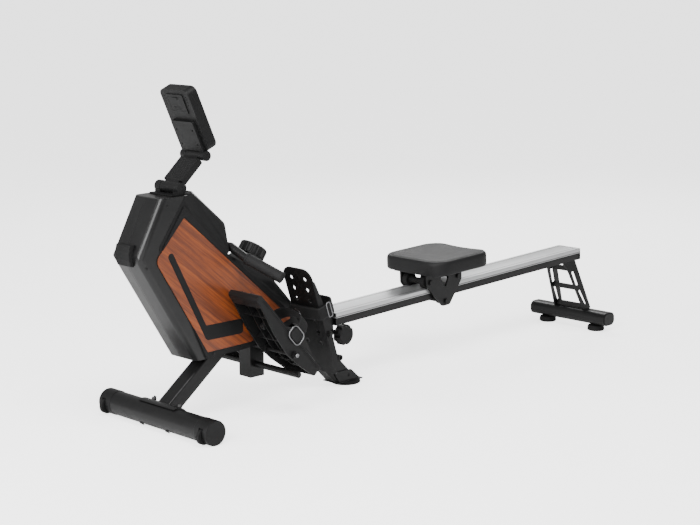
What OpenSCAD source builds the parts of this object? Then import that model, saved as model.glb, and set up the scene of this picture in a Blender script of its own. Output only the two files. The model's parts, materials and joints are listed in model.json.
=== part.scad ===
// Folding magnetic rowing machine with a sliding seat.
// Lengths are millimetres. Modelling frame: X runs from the front stabilizer (0) to the rear,
// -Y is the rower's left, Z = 0 is the floor. Every node is moved by -origin_x at the end,
// so that the finished part has its origin under the middle of its box.

/* [Front stabilizer] */
// Length over both end caps
stabilizer_length = 480; // [440:10:520]
// Radius of the end caps, which carry the front of the machine
cap_r = 35; // [34.5:0.5:36]
// Radius of the steel tube between the caps
tube_r = 33.7; // [33:0.1:34]
// Distance from the middle to each saddle bolt
saddle_bolt_y = 57; // [50:1:64]

/* [Body covers] */
// Half width of the side covers, measured to their flat wall
body_half_w = 63; // [61:1:66]
// Thickness of the moulded covers
cover_wall = 3; // [2:0.5:4]
// Radius of the long rounded edges of the front spine
spine_edge_r = 18; // [14:1:24]
// Radius of the long rounded edges of the rear cover
rear_edge_r = 10; // [8:1:16]

/* [Drive] */
// Radius of the flywheel
flywheel_r = 100; // [90:1:100]
// Radius of the pulley that the belt drives the flywheel from
pulley_r = 50; // [40:1:50]
// Radius of the small pulley on the flywheel
small_pulley_r = 14; // [12:1:16]
// Radius of the strap as it lies wound on its spool
wound_r = 36; // [34:1:37]
// Width of the pull strap
strap_w = 22; // [18:1:22]

/* [Handle] */
// Radius of the handle's steel tube
handle_r = 12.5; // [11:0.5:13]
// Radius of the foam grips
grip_r = 16; // [15:0.5:17]

/* [Console] */
// Height of the console
console_h = 184; // [170:1:190]
// Width of the console
console_w = 120; // [110:1:124]

/* [Foot supports] */
// Distance from the middle plane to the inner edge of the pedals
foot_inner_y = 80; // [78:1:84]
// Distance from the middle plane to the outer edge of the pedals
foot_outer_y = 200; // [196:1:202]
// Length of a ribbed pedal
pedal_l = 325; // [310:1:330]
// Length of an upright foot plate
plate_l = 331; // [320:1:336]

/* [Rail and seat] */
// Length of the aluminium rail
rail_l = 1160; // [1120:1:1170]
// Width of the aluminium rail
rail_w = 95.2; // [90:0.1:96]
// Slope of the rail, rising to the rear, in degrees
rail_slope = 2.41; // [2.4:0.01:2.42]
// Side of the square seat pad
pad_side = 257; // [240:1:270]
// Radius of the seat's running wheels
wheel_r = 20; // [19:0.5:20.5]

/* [Rear stand] */
// Length of the rear stabilizer over its caps
rear_stabilizer_l = 327; // [300:1:340]
// Distance from the middle to each levelling foot
foot_y = 106; // [95:1:115]

/* [Hidden] */
$fn = 64;
run_fit = 0.05;            // radial clearance of every running fit
gap = 0.3;                 // clearance between pieces of different bodies

// Places of the main axes, [X, Z]
bumper_front_x = -111;
rear_x = 1803;
rear_tube_w = 60;
rear_tube_h = 45;
rear_tube_z = 45.4;
origin_x = (bumper_front_x + rear_x + rear_tube_w / 2) / 2;

wheel_at = [-23, 27];
wheel_y = 216;
leg_foot = [18, 48];
leg_angle = 38;
beam_z = [200, 244];
beam_x = [104, 578];
post_x = [305, 356];
post_z = [90, 200];
stop_pipe_at = [326, 128];
pedal_axle_at = [316, 186];
plate_axle_at = [452, 222];
fold_at = [592, 228];
lock_at = [600, 181];
mid_foot_x = 703;
mid_leg_sum = 697.5;       // X + Z along the middle leg's centre line
flywheel_at = [155, 350];
spool_at = [70, 475];
magnet_pivot = [65, 274];
arm_hinge = [55, 661];
tilt_hinge = [143, 741];
console_tilt = -23.9;
knob_base = [331, 438];
knob_lean = 34.8;
handle_at = [223, 482];
pull_rise = 16.7;
pedal_tilt = 48.2;
pedal_pivot = [-105, -36]; // the pivot in the pedal's own frame
plate_tilt = 71.9;
plate_heel = [484, 100];
rail_at = [600, 232.3];    // top surface of the rail's line at its front reference
rail_top_h = 16.6;
channel_h = 22.5;
channel_w = 90;
rail_x0 = 21;
hub_z = wheel_r + gap;
hub_x = [419, 545];
lower_roller_r = 11.5;
lower_hub = [487, -(rail_top_h + channel_h + lower_roller_r + gap)];
pad_x = 511;
pad_z = [50, 97];

// Outline of the whole body in X and Z, and the line that parts the spine from the side covers
body_points = [[-26.5, 642], [64, 643], [84, 654], [188, 562], [206, 462], [355, 382],
               [440, 288], [474, 252], [440, 236], [300, 194], [78, 184], [-108, 488]];
body_radii = [12, 6, 8, 26, 14, 60, 30, 10, 20, 30, 10, 60];
rim_points = [[-200, 720], [70, 720], [62, 650], [-38, 509], [113, 182], [113, 100], [-200, 100]];
rim_radii = [0, 0, 0, 24, 0, 0, 0];
panel_points = [[48, 585], [-49, 478], [119, 204], [276, 208], [426, 252]];
panel_radii = [3, 24, 3, 60, 3];
panel_points_cw = [for (i = [4:-1:0]) panel_points[i]];

// ---------------------------------------------------------------- helpers

function unit(v) = v / norm(v);

// Points of a corner p1 between p0 and p2, rounded to radius r
function corner(p0, p1, p2, r, n = 7) =
    r == 0 ? [p1] :
    let (a = unit(p0 - p1), b = unit(p2 - p1), half = acos(a * b) / 2,
         c = p1 + unit(a + b) * r / sin(half), s = p1 + a * r / tan(half) - c,
         e = p1 + b * r / tan(half) - c, from = atan2(s[1], s[0]),
         turn = (atan2(e[1], e[0]) - from + 540) % 360 - 180)
    [for (i = [0:n]) c + r * [cos(from + turn * i / n), sin(from + turn * i / n)]];

// An outline moved inwards by d, for points that run clockwise
function inset(p, d) =
    [for (i = [0:len(p) - 1])
        let (a = unit(p[i] - p[(i + len(p) - 1) % len(p)]), b = unit(p[(i + 1) % len(p)] - p[i]),
             na = [a[1], -a[0]], nb = [b[1], -b[0]])
        p[i] + d * (na + nb) / (1 + na * nb)];

// A closed outline with each corner rounded
function rounded(p, r) =
    [for (i = [0:len(p) - 1])
        each corner(p[(i + len(p) - 1) % len(p)], p[i], p[(i + 1) % len(p)], is_list(r) ? r[i] : r)];

module row() { translate([-origin_x, 0, 0]) children(); }
module both() { children(); mirror([0, 1, 0]) children(); }

// Extrudes an X-Z outline from y0 to y1
module xz(y0, y1) { translate([0, y1, 0]) rotate([90, 0, 0]) linear_extrude(y1 - y0) children(); }

// Extrudes a Y-Z outline from x0 to x1
module yz(x0, x1) { translate([x0, 0, 0]) rotate([90, 0, 90]) linear_extrude(x1 - x0) children(); }

// Round bar along Y at [X, Z]
module bar(at, y0, y1, r) { translate([at[0], y0, at[1]]) rotate([-90, 0, 0]) cylinder(r = r, h = y1 - y0); }

// Round bar between two points
module rod(p, q, r) {
    d = q - p;
    translate(p) rotate([0, acos(d[2] / norm(d)), atan2(d[1], d[0])]) cylinder(r = r, h = norm(d));
}

module rounded_square(w, h, r) {
    union() {
        square([w - 2 * r, h], center = true);
        square([w, h - 2 * r], center = true);
        for (x = [-1, 1], y = [-1, 1]) translate([x * (w / 2 - r), y * (h / 2 - r)]) circle(r = r);
    }
}

// Flat bar of width w between two points of a plane, with round ends
module link(p, q, w) {
    d = q - p;
    translate(p) rotate(atan2(d[1], d[0])) translate([0, -w / 2]) square([norm(d), w]);
    translate(p) circle(r = w / 2);
    translate(q) circle(r = w / 2);
}

module grow_box(x, y, z) { translate([x[0], y[0], z[0]]) cube([x[1] - x[0], y[1] - y[0], z[1] - z[0]]); }

module hex(r, h) { cylinder(r = r, h = h, $fn = 6); }

// ---------------------------------------------------------------- front stabilizer and frame

bolt_lean = 35;            // saddle bolts lean to the rear by this angle
module saddle_bolt_places() {
    for (y = [-saddle_bolt_y, saddle_bolt_y])
        translate([0, y, cap_r]) rotate([0, bolt_lean, 0]) children();
}

module front_stabilizer() row() color("dimgray")
    difference() {
        bar([0, cap_r], -stabilizer_length / 2 + 34, stabilizer_length / 2 - 34, tube_r);
        bar([0, cap_r], -stabilizer_length / 2 + 33, stabilizer_length / 2 - 33, tube_r - 2.5);
        saddle_bolt_places() translate([0, 0, -40]) cylinder(r = 4.1, h = 80);
    }

// Cup that closes one end of the tube and holds a transport wheel in a slot
module front_cap() {
    end = stabilizer_length / 2;
    difference() {
        translate([0, -end, cap_r]) rotate([-90, 0, 0]) rotate_extrude()
            polygon([[0, 0], [cap_r - 4, 0], [cap_r - 1, 1.2], [cap_r, 4], [cap_r, 50], [cap_r - 0.6, 52],
                     [tube_r + 0.02, 52], [tube_r + 0.02, 30], [0, 30]]);
        bar(wheel_at, -wheel_y - 8.5, -wheel_y + 8.5, 25);
        bar([0, cap_r], -end + 36, -end + 60, tube_r + 0.02);
    }
    bar(wheel_at, -wheel_y - 13, -wheel_y + 11, 3);
}

module front_caps() row() color("#202022") both() front_cap();

module transport_wheel() difference() {
    union() {
        bar(wheel_at, -wheel_y - 7, -wheel_y + 7, 20);
        bar(wheel_at, -wheel_y - 5.5, -wheel_y + 5.5, 22);
    }
    bar(wheel_at, -wheel_y - 8, -wheel_y + 8, 3 + run_fit);
    for (s = [-1, 1]) translate([wheel_at[0], -wheel_y + s * 7, wheel_at[1]]) rotate([90, 0, 0])
        difference() { cylinder(r = 16, h = 4, center = true); cylinder(r = 7, h = 5, center = true); }
}
module transport_wheel_left() row() color("#2a2a2c") transport_wheel();
module transport_wheel_right() row() color("#2a2a2c") mirror([0, 1, 0]) transport_wheel();

// Slanted leg from the saddle to the underside of the beam
module front_leg() row() color("#26262a") {
    difference() {
        translate([leg_foot[0], 0, leg_foot[1]]) rotate([0, -leg_angle, 0]) rotate([90, 0, 90])
            linear_extrude(250) difference() { rounded_square(50, 44, 6); rounded_square(45, 39, 4); }
        bar([0, cap_r], -60, 60, tube_r + 2);
        grow_box([0, 400], [-60, 60], [beam_z[0], 400]);
    }
    difference() {
        bar([0, cap_r], -78, 78, tube_r + 3.9);
        bar([0, cap_r], -79, 79, tube_r + 0.05);
        translate([0, 0, cap_r]) rotate([0, bolt_lean, 0]) translate([-60, -80, -60]) cube([120, 160, 80]);
        saddle_bolt_places() cylinder(r = 4.1, h = 60);
    }
}

// Side plate that carries the axles of the drive, inside the covers
drive_plate_points = [[112, 204], [262, 204], [232, 300], [196, 372], [150, 392], [104, 505],
                      [70, 520], [34, 500], [24, 400], [52, 262]];
module drive_plate() difference() {
    xz(25, 28) polygon(rounded(drive_plate_points, [0, 0, 20, 20, 20, 20, 18, 20, 0, 0]));
    bar(flywheel_at, 20, 30, 6 + run_fit);
    bar(spool_at, 20, 30, 6 + run_fit);
    bar(magnet_pivot, 20, 30, 4 + run_fit);
}

clevis_points = [[536, 244], [536, 214], [556, 168], [612, 166], [616, 244]];
module main_beam() row() color("#26262a") {
    difference() {
        grow_box(beam_x, [-25, 25], beam_z);
        grow_box([beam_x[0] - 1, beam_x[1] - 3], [-22.5, 22.5], [beam_z[0] + 2.5, beam_z[1] - 2.5]);
        bar(plate_axle_at, -30, 30, 6 + run_fit);
    }
    both() drive_plate();
    both() difference() {
        xz(25, 30) polygon(rounded(clevis_points, [2, 10, 10, 14, 14]));
        bar(fold_at, 20, 40, 6 + run_fit);
        bar(lock_at, 20, 40, 6 + run_fit);
    }
}

module pedal_post() row() color("#26262a") {
    difference() {
        grow_box(post_x, [-25, 25], post_z);
        grow_box([post_x[0] + 3, post_x[1] - 3], [-22, 22], [post_z[0] + 3, post_z[1] + 1]);
        bar(stop_pipe_at, -30, 30, 9 + run_fit);
        bar(pedal_axle_at, -30, 30, 6 + run_fit);
    }
}

// Fixed pipe that stops the pedals, and the two axles that carry the foot supports
module foot_axles() row() color("#1d1d20") {
    difference() {
        bar(stop_pipe_at, -207, 207, 9);
        for (s = [-1, 1]) translate([stop_pipe_at[0], s * 207, stop_pipe_at[1]]) rotate([90, 0, 0])
            cylinder(r = 6.5, h = 80, center = true);
    }
    both() bar(stop_pipe_at, -209, -166, 6.4);
    bar(pedal_axle_at, -foot_outer_y - 12, foot_outer_y + 12, 6);
    bar(plate_axle_at, -foot_outer_y - 6, foot_outer_y + 6, 6);
    both() {
        translate([pedal_axle_at[0], -foot_outer_y - 1.5, pedal_axle_at[1]]) rotate([90, 0, 0])
            difference() { cylinder(r = 11, h = 2); translate([0, 0, -1]) cylinder(r = 6, h = 4); }
        translate([pedal_axle_at[0], -foot_outer_y - 3.5, pedal_axle_at[1]]) rotate([90, 0, 0])
            difference() { hex(9.5, 6); translate([0, 0, -1]) cylinder(r = 6, h = 8); }
        translate([plate_axle_at[0], -foot_outer_y + 2, plate_axle_at[1]]) rotate([90, 0, 0])
            difference() { hex(9.5, 5); translate([0, 0, -1]) cylinder(r = 6, h = 8); }
    }
}

module mid_leg() row() color("#26262a") {
    low = 13;
    difference() {
        union() {
            translate([mid_leg_sum - 200, 0, 200]) rotate([0, 45, 0]) rotate([90, 0, 90])
                translate([0, 0, -60]) linear_extrude(340)
                difference() { rounded_square(50, 61, 6); rounded_square(45, 56, 4); }
            both() xz(25, 28.5) polygon(rounded([[650, low], [628, 46], [700, 46], [737, low]], [3, 6, 6, 3]));
            bar([654, 89], -31, 31, 9);
        }
        grow_box([300, 800], [-60, 60], [beam_z[0], 400]);
        grow_box([500, 900], [-60, 60], [-60, low]);
        bar([654, 89], -40, 40, 4);
    }
    // Foot plate welded across the lower end
    grow_box([640, 745], [-32, 32], [low - 3, low]);
}

module mid_foot() row() color("#161617")
    translate([mid_foot_x, 0, 0]) rotate_extrude($fn = 96)
        polygon([[0, 0], [42, 0], [45, 2], [45, 6], [42.5, 8], [40, 10], [0, 10]]);

// ---------------------------------------------------------------- body covers

module body_outline(wall = 0) {
    polygon(rounded(inset(body_points, wall), [for (r = body_radii) max(r - wall, 1)]));
}
module rim_zone() { polygon(rounded(rim_points, rim_radii)); }
// Zone of the rear cover, above the line that runs along the wood panel
module rear_zone() {
    polygon([[52, 720], [52, 614], [188, 474], [206, 452], [240, 434], [440, 255], [700, 255], [700, 720]]);
}

// Long box with two rounded edges whose top line runs from p to q in the X-Z plane.
// Its ridge lies a hair under the outline it is cut with, and it slopes down by drop
// from the ridge to the edges.
module edge_prism(p, q, half_w, depth, r, drop, wall, before, after) {
    d = q - p;
    w = half_w - wall;
    top = -0.05 - wall;
    translate([p[0], 0, p[1]]) rotate([0, -atan2(d[1], d[0]), 0]) yz(-before, norm(d) + after)
        polygon(rounded([[-w, -depth], [w, -depth], [w, top - drop], [0, top], [-w, top - drop]],
                        [0, 0, r - wall, 0, r - wall]));
}

// Openings for the leg, the post, the beam and the drive under the body
module frame_passage() {
    grow_box([156, 240], [-27, 27], [150, 215]);
    grow_box([post_x[0] - 2, post_x[1] + 2], [-27, 27], [150, 215]);
    grow_box([280, 520], [-27, 27], [180, beam_z[1] + 2]);
}

module side_cover() {
    w = body_half_w;
    difference() {
        xz(0.02, w) difference() { body_outline(); rim_zone(); rear_zone(); }
        xz(-1, w - cover_wall) body_outline(cover_wall);
        frame_passage();
    }
    // Raised border round the wood panel
    xz(w - 0.5, w + 3) difference() {
        intersection() { body_outline(); border_outline(); }
        rear_zone();
        polygon(rounded(inset(panel_points_cw, -0.6), [3, 60, 3, 24, 3]));
    }
}
module border_outline() {
    polygon(rounded([[50, 616], [-30, 502], [114, 188], [282, 192], [436, 240], [442, 254]],
                    [4, 26, 4, 50, 4, 4]));
}
module cover_right() row() color("#1b1b1d") side_cover();
module cover_left() row() color("#1b1b1d") mirror([0, 1, 0]) side_cover();

module side_panels() row() color("#b5622c")
    both() xz(body_half_w + 0.05, body_half_w + 2.4) polygon(rounded(panel_points, panel_radii));

// Recessed screws near the front edge
shell_screws = [[-5, 623], [-76, 463]];
module spine_solid(wall) {
    last = len(body_points) - 1;
    w = body_half_w - 1;
    intersection() {
        edge_prism(body_points[last], body_points[0], w, 500, spine_edge_r, 4, wall, 400, 90);
        edge_prism(body_points[last - 1], body_points[last], w, 500, spine_edge_r, 4, wall, 90, 400);
    }
}
module spine_cover() row() color("#232326")
    difference() {
        intersection() {
            spine_solid(0);
            xz(-body_half_w - 1, body_half_w + 1) intersection() { body_outline(); rim_zone(); }
        }
        intersection() {
            spine_solid(cover_wall);
            xz(-body_half_w - 1, body_half_w + 1) body_outline(cover_wall);
        }
        frame_passage();
        for (at = shell_screws) both() bar(at, -body_half_w - 1, -body_half_w + 6, 4);
    }

module rear_solid(wall) {
    edge_prism([84, 654], [188, 562], body_half_w, 130, rear_edge_r, 1.5, wall, 70, 70);
    w = body_half_w - wall;
    xz(-w, w) translate([120, 200]) square([500, 266]);
}
pod_points = [[262, 428], [306, 454.6], [356, 420], [384, 340], [300, 380]];
module rear_cover() row() color("#1f1f22")
    difference() {
        union() {
            difference() {
                intersection() {
                    rear_solid(0);
                    xz(-body_half_w - 1, body_half_w + 1) difference() {
                        intersection() { body_outline(); rear_zone(); }
                        rim_zone();
                    }
                }
                intersection() {
                    rear_solid(cover_wall);
                    xz(-body_half_w - 1, body_half_w + 1) body_outline(cover_wall);
                }
            }
            xz(-38, 38) polygon(rounded(pod_points, [10, 10, 10, 4, 4]));
        }
        // Strap mouth
        translate([handle_at[0], 0, handle_at[1]]) rotate([0, -pull_rise, 0])
            translate([-80, -strap_w / 2 - 3, -5]) cube([90, strap_w + 6, 10]);
        // Shaft hole of the tension knob, and the hollow under it
        translate([knob_base[0], 0, knob_base[1]]) rotate([0, knob_lean, 0])
            translate([0, 0, -90]) cylinder(r = 5 + run_fit, h = 100);
        xz(-34, 34) polygon([[280, 425], [306, 446], [350, 414], [368, 345], [300, 330], [250, 400]]);
    }

module front_bumper() row() color("#101011")
    xz(-30, 30) difference() {
        polygon(rounded([[-84, 524], [-106, 524], [bumper_front_x, 506], [bumper_front_x, 484],
                         [-104, 466], [-76, 466]], [0, 4, 3, 3, 4, 0]));
        body_outline(-0.02);
    }

module fasteners() row() color("#3a3a3c") {
    saddle_bolt_places() {
        translate([0, 0, -35]) cylinder(r = 4, h = 84);
        translate([0, 0, -36.6]) cylinder(r = 7, h = 2);
        translate([0, 0, tube_r + 4]) difference() { hex(7.5, 6.5); cylinder(r = 4, h = 20, center = true); }
    }
    both() for (at = [[140, 196], [238, 200]]) bar(at, -body_half_w - 4.4, -body_half_w - 3, 4);
    for (at = shell_screws) both() bar(at, -body_half_w + 1.5, -body_half_w + 3.5, 3.9);
    both() bar([694, 28], -30.5, -28.5, 5);
    // Pins of the rail's fold and of the console arm
    bar(fold_at, -36, 36, 6);
    both() bar(fold_at, -40, -36, 9);
    bar(arm_hinge, -49, 49, 5);
}

// ---------------------------------------------------------------- drive inside the covers

module drive_axles() row() color("silver") {
    bar(flywheel_at, -34, 34, 6);
    bar(spool_at, -34, 34, 6);
    both() for (at = [flywheel_at, spool_at]) translate([at[0], -28.2, at[1]]) rotate([90, 0, 0])
        difference() { hex(10, 5); cylinder(r = 6, h = 20, center = true); }
}

module flywheel() row() color("gray")
    difference() {
        union() {
            difference() {
                bar(flywheel_at, -12, 12, flywheel_r);
                for (s = [-1, 1]) translate([flywheel_at[0], s * 12, flywheel_at[1]]) rotate([90, 0, 0])
                    cylinder(r = 74, h = 16, center = true);
            }
            bar(flywheel_at, -22, 14.5, 20);
            bar(flywheel_at, -12, 22.5, small_pulley_r);
        }
        bar(flywheel_at, -40, 40, 6 + run_fit);
    }

module drive_pulley() row() color("#303033")
    difference() {
        bar(spool_at, 15, 22.5, pulley_r);
        bar(spool_at, 0, 40, 6 + run_fit);
        for (a = [0:60:300]) translate([spool_at[0], 18, spool_at[1]]) rotate([0, a, 0])
            translate([30, 0, 0]) rotate([90, 0, 0]) cylinder(r = 10, h = 20, center = true);
    }

// Belt round both pulleys: two arcs and the outer tangents between them
module belt_outline(extra) {
    d = flywheel_at - spool_at;
    lean = atan2(d[1], d[0]);
    open = acos((pulley_r - small_pulley_r) / norm(d));
    polygon([
        for (i = [0:24]) let (a = lean + open + (360 - 2 * open) * i / 24)
            spool_at + (pulley_r + extra) * [cos(a), sin(a)],
        for (i = [0:10]) let (a = lean - open + 2 * open * i / 10)
            flywheel_at + (small_pulley_r + extra) * [cos(a), sin(a)]]);
}
module drive_belt() row() color("#151515")
    xz(15.3, 22.2) difference() { belt_outline(3); belt_outline(gap + 0.3); }

module strap_spool() row() color("#2c2c30")
    difference() {
        union() {
            bar(spool_at, -13, 13, wound_r - 0.6);
            for (y = [-13, 11.5]) bar(spool_at, y, y + 1.5, wound_r + 6);
        }
        bar(spool_at, -20, 20, 6 + run_fit);
    }

// Flat spiral spring that winds the strap back in
spring_turns = 5;
module recoil_spring() row() color("silver")
    translate([spool_at[0], 0, spool_at[1]]) xz(-23, -15) polygon([
        for (i = [0:spring_turns * 24]) let (a = i * 15, r = 10 + i * 0.18) r * [cos(a), sin(a)],
        for (i = [spring_turns * 24:-1:0]) let (a = i * 15, r = 11 + i * 0.18) r * [cos(a), sin(a)]]);

function around(c, r, a) = c + r * [cos(a), sin(a)];
module magnet_bracket() row() color("#55555a") {
    // Bridge outside the rim
    xz(-20, 20) polygon([
        for (i = [0:8]) around(flywheel_at, 104, 172 + i * 5),
        for (i = [8:-1:0]) around(flywheel_at, 108, 172 + i * 5)]);
    both() xz(17, 20) polygon([
        for (i = [0:8]) around(flywheel_at, 82, 172 + i * 5),
        for (i = [8:-1:0]) around(flywheel_at, 108, 172 + i * 5)]);
    both() xz(17, 20) link(around(flywheel_at, 102, 209), magnet_pivot, 14);
    bar(magnet_pivot, -30, 30, 4);
    both() for (i = [0:2]) translate([flywheel_at[0], 0, flywheel_at[1]]) rotate([0, -(180 + i * 11), 0])
        translate([91, 15.2, 0]) cube([15, 3.6, 16], center = true);
}

module tension_cable() row() color("#121212") {
    route = [[308, 0, 400], [285, 0, 372], [262, 20, 330], [250, 40, 290], [225, 44, 262],
             [180, 44, 250], [120, 44, 250], [84, 36, 258]];
    for (i = [0:len(route) - 2]) rod(route[i], route[i + 1], 2.5, $fn = 24);
    for (i = [1:len(route) - 2]) translate(route[i]) sphere(r = 2.65, $fn = 24);
}

module tension_knob() row() color("#222224")
    translate([knob_base[0], 0, knob_base[1]]) rotate([0, knob_lean, 0]) {
        difference() {
            union() {
                cylinder(r = 38, h = 3);
                translate([0, 0, 3]) cylinder(r = 40, h = 25);
                translate([0, 0, 28]) cylinder(r1 = 40, r2 = 37, h = 3);
            }
            for (i = [0:15]) rotate(i * 22.5) translate([42, 0, -1]) cylinder(r = 4.5, h = 40, $fn = 24);
            translate([0, 0, 29]) cylinder(r = 24, h = 4);
        }
        translate([0, 0, -40]) cylinder(r = 5, h = 42);
    }

// ---------------------------------------------------------------- handle

handle_bend = [handle_at[0], 46, handle_at[1]];
handle_joint = [234, 100, 455];
handle_end = [275, 200, 408];
module handle_bar() row() color("#3a3a3d") {
    bar(handle_at, -46, 46, handle_r);
    both() {
        // The bends are balls a hair fatter than the tube
        translate(handle_bend) sphere(r = handle_r + 0.2);
        rod(handle_bend, handle_joint, handle_r);
        translate(handle_joint) sphere(r = handle_r + 0.2);
        rod(handle_joint, handle_joint + 0.97 * (handle_end - handle_joint), handle_r);
    }
    translate([handle_at[0], 0, handle_at[1]]) rotate([0, -pull_rise, 0])
        translate([-26, -strap_w / 2 - 2, -3.5]) cube([26, strap_w + 4, 7]);
}

module handle_grips() row() color("#2b2b2d")
    both() difference() {
        union() {
            rod(handle_joint, handle_end, grip_r);
            rod(handle_joint, handle_joint + 5 * unit(handle_end - handle_joint), grip_r + 1.2);
        }
        rod(handle_joint - 9 * unit(handle_end - handle_joint),
            handle_joint + 0.97 * (handle_end - handle_joint), handle_r + 0.02);
        translate(handle_joint) sphere(r = handle_r + 0.3);
    }

module pull_strap() row() color("#1a1a1a")
    translate([handle_at[0], 0, handle_at[1]]) rotate([0, -pull_rise, 0])
        translate([-146, -strap_w / 2, -1]) cube([119.8, strap_w, 2]);

// ---------------------------------------------------------------- console

arm_l = norm(tilt_hinge - arm_hinge);
arm_rise = atan2(tilt_hinge[1] - arm_hinge[1], tilt_hinge[0] - arm_hinge[0]);

module arm_base() row() color("#232326")
    difference() {
        union() {
            both() bar(arm_hinge, 28, 50, 16);
            grow_box([22, 64], [-50, 50], [643.2, 646.5]);
            both() grow_box([41, 64], [28, 50], [643.2, 661]);
        }
        bar(arm_hinge, -60, 60, 5 + 0.02);
        bar(arm_hinge, -27.7, 27.7, 17);
    }

module in_arm() { translate([arm_hinge[0], 0, arm_hinge[1]]) rotate([0, -arm_rise, 0]) children(); }
module console_arm() row() color("#2a2a2d") in_arm() difference() {
    union() {
        xz(-38, 38) translate([arm_l / 2 + 1, 0]) rounded_square(arm_l - 36, 20, 4);
        bar([0, 0], -27.4, 27.4, 15.5);
        bar([arm_l, 0], -27.4, 27.4, 13.5);
        xz(-27.4, 27.4) translate([arm_l / 2, 0]) square([arm_l, 16], center = true);
    }
    bar([0, 0], -50, 50, 5 + run_fit);
    bar([arm_l, 0], -50, 50, 4.5 + run_fit);
}

module in_console() { translate([tilt_hinge[0], 0, tilt_hinge[1]]) rotate([0, console_tilt, 0]) children(); }
console_z0 = 10;
console_mid_z = console_z0 + console_h / 2;
module console_face(inset = 0) translate([0, console_mid_z])
    rounded_square(console_w - 2 * inset, console_h - 2 * inset, 18 - inset);

module tilt_pin() row() color("silver") in_console() bar([0, 0], -49, 49, 4.5);

module console_back() row() color("#202023") in_console() difference() {
    union() {
        yz(6, 24) console_face();
        // Mounting block with the hinge ears
        yz(-4, 6) translate([0, 56]) rounded_square(92, 96, 5);
        both() bar([0, 0], 28, 50, 14);
        both() grow_box([-4, 12], [28, 46], [0, 14]);
        // Frame of the battery door
        yz(3, 6) translate([0, 152]) rounded_square(70, 58, 4);
    }
    yz(9, 25) console_face(3);
    yz(2, 7) translate([0, 153]) square([58.6, 42.6], center = true);
    yz(2, 10) translate([0, 155]) square([44, 30], center = true);
    bar([0, 0], -60, 60, 4.5 + 0.02);
    bar([0, 0], -27.8, 27.8, 16);
    for (y = [-34, 34], z = [34, 78]) translate([-5, y, z]) rotate([0, 90, 0]) cylinder(r = 3, h = 6);
    for (z = [150, 158, 166, 174]) both() translate([4, 46, z]) rotate([0, 90, 0]) cylinder(r = 1.6, h = 8);
}

button_z = 30;
module console_front() row() color("#26262a") in_console() difference() {
    union() {
        yz(24.05, 37.5) console_face();
        yz(37.4, 40) console_face(2);
    }
    yz(24, 36) console_face(3);
    yz(30, 41) translate([0, 118]) rounded_square(88, 104, 6);
    yz(30, 41) translate([0, button_z]) rounded_square(85, 17, 5);
}
module console_screen() row() color("#3c4a46") in_console()
    yz(36.2, 38.2) translate([0, 118]) rounded_square(87.6, 103.6, 5.8);
module mode_button() row() color("#151517") in_console() {
    yz(33, 44) translate([0, button_z]) rounded_square(84, 16, 5);
}
module battery_door() row() color("#242427") in_console() difference() {
    union() {
        yz(3.2, 5.8) translate([0, 153]) rounded_square(58, 42, 2);
        yz(1.2, 3.2) translate([0, 169]) rounded_square(22, 6, 2);
    }
    for (z = [137, 141, 145]) yz(3, 3.9) translate([0, z]) square([30, 1.6], center = true);
}
module batteries() row() color("#8d6a3a") in_console()
    for (y = [-8, 8]) translate([17, y, 129]) {
        cylinder(r = 7, h = 47);
        translate([0, 0, 47]) cylinder(r = 2.5, h = 2);
    }

// ---------------------------------------------------------------- foot supports

// A pedal's own frame: x from toe (-) to heel (0), y outwards, z out of the tread
function turned(v, a) = [v[0] * cos(a) + v[1] * sin(a), -v[0] * sin(a) + v[1] * cos(a)];
pedal_origin = pedal_axle_at - turned(pedal_pivot, pedal_tilt);
module in_pedal() { translate([pedal_origin[0], 0, pedal_origin[1]]) rotate([0, pedal_tilt, 0]) children(); }
pedal_under = [[0, -31], [-68, -45.5], [-126, -52], [-205, -43], [-293, -24], [-pedal_l, -21]];
module pedal_outline() polygon(rounded(concat([[-pedal_l, 0], [0, 0]], pedal_under),
                                       [8, 4, 8, 60, 60, 60, 60, 9]));

module pedal() in_pedal() {
    y0 = -foot_outer_y;
    y1 = -foot_inner_y;
    difference() {
        union() {
            difference() {
                xz(y0, y1) pedal_outline();
                // Hollow underside inside a rim of side flanges and end walls
                xz(y0 + 6, y1 - 6) difference() {
                    translate([-pedal_l + 7, -80]) square([pedal_l - 14, 76]);
                    polygon([[-pedal_l, 0], [-pedal_l, -40], [-pedal_l + 20, -40], [-pedal_l + 54, 0]]);
                }
            }
            // Two long ribs, three cross ribs and two screw bosses, lower than the flanges
            intersection() {
                translate([0, 0, 12]) xz(y0 + 3, y1 - 3) pedal_outline();
                union() {
                    for (k = [1, 2]) translate([-pedal_l + 3, y0 + 6 + k * 36 - 1.5, -60]) cube([pedal_l - 6, 3, 60]);
                    for (x = [-245, -160, -62]) translate([x, y0 + 3, -60]) cube([2.5, y1 - y0 - 6, 59]);
                    for (x = [-205, -30]) translate([x, (y0 + y1) / 2, -60]) cylinder(r = 9, h = 59);
                }
            }
            for (y = [y0, y1 - 12]) bar(pedal_pivot, y, y + 12, 13);
            // Tread bars across the foot side
            for (i = [0:11]) translate([-pedal_l + 16 + i * 26, y0 + 10, 0]) cube([8, y1 - y0 - 20, 2]);
        }
        bar(pedal_pivot, y0 - 1, y1 + 1, 6 + run_fit);
        translate([0, 0, 0]) bar(pedal_pivot, y0 + 12, y1 - 12, 9);
        for (x = [-205, -30]) translate([x, (y0 + y1) / 2, -60]) cylinder(r = 3, h = 52);
        // Grooves along the outer flange
        for (z = [-5, -9]) translate([-pedal_l + 20, y0 - 0.1, z]) cube([pedal_l - 30, 1.1, 1.6]);
    }
}
module pedal_left() row() color("#1c1c1e") pedal();
module pedal_right() row() color("#1c1c1e") mirror([0, 1, 0]) pedal();

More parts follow.
